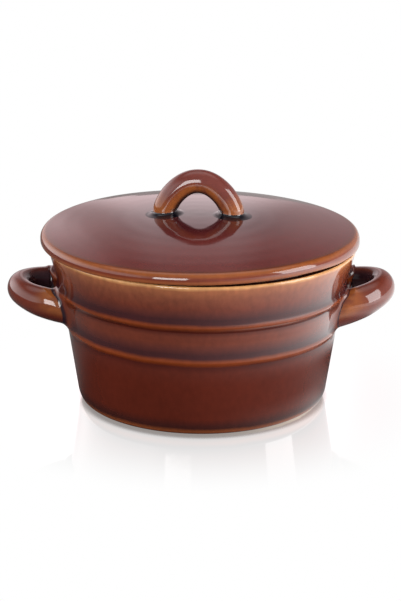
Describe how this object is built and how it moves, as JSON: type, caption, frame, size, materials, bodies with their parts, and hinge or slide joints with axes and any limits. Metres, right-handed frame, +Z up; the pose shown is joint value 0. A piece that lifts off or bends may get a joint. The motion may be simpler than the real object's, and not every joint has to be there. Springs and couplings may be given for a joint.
{
  "type": "lard crock",
  "caption": "Small lidded stoneware crock in brown glaze: tapered ledged pot with two ear handles and a domed lid with a lifting loop and a locating ring.",
  "frame": {"origin": "centre of the foot ring, on the table", "axes": "+Z up, +X from the left handle to the right handle, -Y towards the viewer"},
  "size_m": [0.1582, 0.1292, 0.0954],
  "materials": {
    "pot_glaze": "glossy brown glaze, amber where it thins on edges and dark where it pools",
    "lid_glaze": "glossy purple-brown glaze with an amber edge",
    "handle_glaze": "glossy amber-brown glaze with dark pools at the roots"
  },
  "bodies": {
    "crock": {"crock_body": "pot_glaze", "left_handle": "handle_glaze", "right_handle": "handle_glaze"},
    "lid": {"lid_plate": "lid_glaze", "lid_locating_ring": "lid_glaze", "lid_loop": "handle_glaze"}
  },
  "joints": [
    {"name": "lid_lift", "type": "slide", "parent": "crock", "child": "lid", "axis": [0, 0, 1], "range_m": [0, 0.08]}
  ]
}
